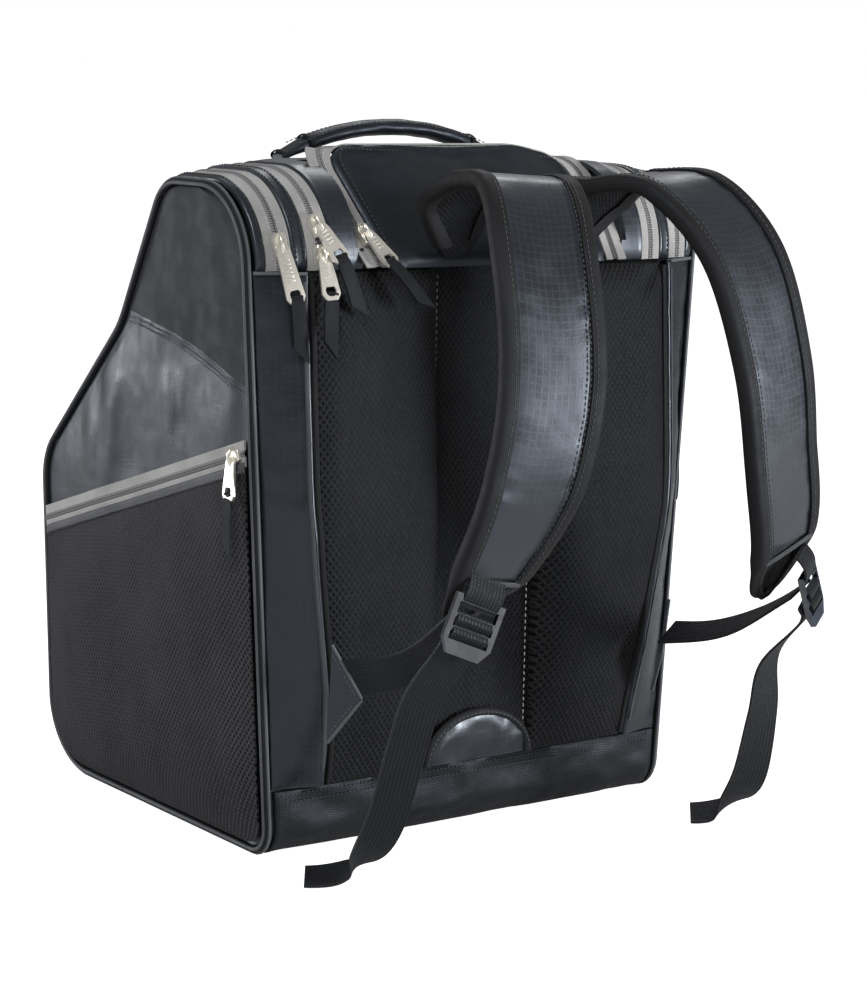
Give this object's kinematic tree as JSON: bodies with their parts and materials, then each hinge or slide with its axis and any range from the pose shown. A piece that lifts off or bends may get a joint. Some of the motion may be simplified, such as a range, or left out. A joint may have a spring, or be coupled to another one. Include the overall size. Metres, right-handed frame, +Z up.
{
  "type": "ski boot bag",
  "caption": "Backpack-style ski boot bag with a flat back, sloping front, side boot compartments, top goggle pocket, carry handle and padded shoulder straps.",
  "frame": {"origin": "on the floor, below the middle of the bag's body", "axes": "+Z up, -Y the padded side worn against the back, +Y the sloping front, -X the wearer's left"},
  "size_m": [0.3748, 0.5044, 0.4705],
  "materials": {
    "coated_ripstop": "coated ripstop with a soft sheen",
    "matt_ripstop": "matt ripstop",
    "spacer_mesh": "open diamond mesh",
    "base_fabric": "heavy matt weave",
    "zipper_tape": "woven tape with a nylon coil",
    "piping": "satin tube piping",
    "webbing": "ribbed webbing",
    "lining": "plain woven lining",
    "nickel": "satin nickel",
    "gunmetal": "polished dark plating",
    "rubber": "matt"
  },
  "bodies": {
    "bag": {"back_gusset_left": "coated_ripstop", "back_gusset_right": "coated_ripstop", "back_pad_left": "spacer_mesh", "back_pad_right": "spacer_mesh", "back_panel": "spacer_mesh", "base_panel": "base_fabric", "boot_zipper_left": "zipper_tape", "boot_zipper_right": "zipper_tape", "divider_left": "lining", "divider_right": "lining", "edge_strip_left": "coated_ripstop", "edge_strip_right": "coated_ripstop", "goggle_liner": "lining", "lid_zipper": "zipper_tape", "main_zipper": "zipper_tape", "middle_strip_left": "coated_ripstop", "middle_strip_right": "coated_ripstop", "piping_left": "piping", "piping_right": "piping", "pocket_zipper_left": "zipper_tape", "pocket_zipper_right": "zipper_tape", "side_panel_left": "matt_ripstop", "side_panel_right": "matt_ripstop", "side_pocket_left": "spacer_mesh", "side_pocket_right": "spacer_mesh", "top_panel": "coated_ripstop", "webbing_tab_left": "coated_ripstop", "webbing_tab_right": "coated_ripstop"},
    "lid": {"goggle_lid": "coated_ripstop"},
    "flap": {"front_flap": "coated_ripstop"},
    "handle": {"carry_handle": "coated_ripstop"},
    "strap_left": {"strap_pad_left": "coated_ripstop", "lower_webbing_left": "webbing"},
    "strap_right": {"strap_pad_right": "coated_ripstop", "lower_webbing_right": "webbing"},
    "buckle_left": {"ladder_lock_left": "gunmetal", "webbing_tail_left": "webbing"},
    "buckle_right": {"ladder_lock_right": "gunmetal", "webbing_tail_right": "webbing"},
    "main_slide_upper": {"main_slider_upper": "nickel"},
    "main_pulling_upper": {"main_pull_upper": "nickel", "main_tug_upper": "rubber"},
    "main_slide_lower": {"main_slider_lower": "nickel"},
    "main_pulling_lower": {"main_pull_lower": "nickel", "main_tug_lower": "rubber"},
    "boot_slide_left": {"boot_slider_left": "nickel"},
    "boot_pulling_left": {"boot_pull_left": "nickel", "boot_tug_left": "rubber"},
    "boot_slide_right": {"boot_slider_right": "nickel"},
    "boot_pulling_right": {"boot_pull_right": "nickel", "boot_tug_right": "rubber"},
    "lid_slide": {"lid_slider": "nickel"},
    "lid_pulling": {"lid_pull": "nickel", "lid_tug": "rubber"},
    "pocket_slide_left": {"pocket_slider_left": "nickel"},
    "pocket_pulling_left": {"pocket_pull_left": "nickel", "pocket_tug_left": "rubber"},
    "pocket_slide_right": {"pocket_slider_right": "nickel"},
    "pocket_pulling_right": {"pocket_pull_right": "nickel", "pocket_tug_right": "rubber"}
  },
  "joints": [
    {"name": "lid_hinge", "type": "hinge", "parent": "bag", "child": "lid", "pos_m": [0, -0.166, 0.382], "axis": [1, 0, 0], "range_deg": [0, 20]},
    {"name": "flap_hinge", "type": "hinge", "parent": "bag", "child": "flap", "pos_m": [0, 0.01287, 0.3665], "axis": [1, 0, 0], "range_deg": [0, 110]},
    {"name": "handle_hinge", "type": "hinge", "parent": "bag", "child": "handle", "pos_m": [0, -0.034, 0.444], "axis": [1, 0, 0], "range_deg": [-60, 35], "stiffness_Nm_per_rad": 0.06},
    {"name": "strap_swing_left", "type": "hinge", "parent": "bag", "child": "strap_left", "pos_m": [-0.043, -0.174, 0.388], "axis": [-0.3155, -0.0532, -0.9474], "range_deg": [-8, 8], "stiffness_Nm_per_rad": 2},
    {"name": "strap_swing_right", "type": "hinge", "parent": "bag", "child": "strap_right", "pos_m": [0.043, -0.174, 0.388], "axis": [0.3155, -0.0532, -0.9474], "range_deg": [-8, 8], "stiffness_Nm_per_rad": 2},
    {"name": "buckle_tilt_left", "type": "hinge", "parent": "strap_left", "child": "buckle_left", "pos_m": [-0.1275, -0.319, 0.1965], "axis": [-0.9126, 0.1504, 0.3802], "range_deg": [0, 25]},
    {"name": "buckle_tilt_right", "type": "hinge", "parent": "strap_right", "child": "buckle_right", "pos_m": [0.137, -0.318, 0.189], "axis": [-0.8168, -0.5265, -0.2358], "range_deg": [0, 25]},
    {"name": "main_run_upper", "type": "hinge", "parent": "bag", "child": "main_slide_upper", "pos_m": [0, -0.098, 0.384], "axis": [-1, 0, 0], "range_deg": [0, 60]},
    {"name": "main_run_lower", "type": "hinge", "parent": "bag", "child": "main_slide_lower", "pos_m": [0, -0.098, 0.384], "axis": [-1, 0, 0], "range_deg": [0, 2]},
    {"name": "boot_run_left", "type": "hinge", "parent": "bag", "child": "boot_slide_left", "pos_m": [0, -0.098, 0.384], "axis": [-1, 0, 0], "range_deg": [0, 65]},
    {"name": "boot_run_right", "type": "slide", "parent": "bag", "child": "boot_slide_right", "axis": [0.0529, -0.0475, 0.9975], "range_m": [0, 0.065]},
    {"name": "lid_run", "type": "slide", "parent": "bag", "child": "lid_slide", "axis": [-0.1349, 0.6384, 0.7578], "range_m": [0, 0.02]},
    {"name": "pocket_run_left", "type": "slide", "parent": "bag", "child": "pocket_slide_left", "axis": [0.0153, 0.9575, -0.2879], "range_m": [0, 0.235]},
    {"name": "pocket_run_right", "type": "slide", "parent": "bag", "child": "pocket_slide_right", "axis": [-0.0153, 0.9575, -0.2879], "range_m": [0, 0.235]},
    {"name": "main_flip_upper", "type": "hinge", "parent": "main_slide_upper", "child": "main_pulling_upper", "pos_m": [-0.13672, -0.1569, 0.40838], "axis": [-0.8975, -0.0722, -0.435], "range_deg": [0, 120]},
    {"name": "main_flip_lower", "type": "hinge", "parent": "main_slide_lower", "child": "main_pulling_lower", "pos_m": [-0.13589, -0.1616, 0.38846], "axis": [-0.9928, 0.1051, -0.0577], "range_deg": [0, 12]},
    {"name": "boot_flip_left", "type": "hinge", "parent": "boot_slide_left", "child": "boot_pulling_left", "pos_m": [-0.16393, -0.15636, 0.39641], "axis": [-0.9643, 0.1413, -0.224], "range_deg": [0, 140]},
    {"name": "boot_flip_right", "type": "hinge", "parent": "boot_slide_right", "child": "boot_pulling_right", "pos_m": [0.14997, 0.15277, 0.13042], "axis": [0.9807, -0.1953, -0.0117], "range_deg": [0, 140]},
    {"name": "lid_flip", "type": "hinge", "parent": "lid_slide", "child": "lid_pulling", "pos_m": [-0.09981, -0.15571, 0.40275], "axis": [-0.9363, -0.2263, -0.2687], "range_deg": [0, 35]},
    {"name": "pocket_flip_left", "type": "hinge", "parent": "pocket_slide_left", "child": "pocket_pulling_left", "pos_m": [-0.18281, -0.13, 0.26217], "axis": [0, 1, 0], "range_deg": [0, 140]},
    {"name": "pocket_flip_right", "type": "hinge", "parent": "pocket_slide_right", "child": "pocket_pulling_right", "pos_m": [0.18281, -0.13, 0.26217], "axis": [0, -1, 0], "range_deg": [0, 140]}
  ]
}
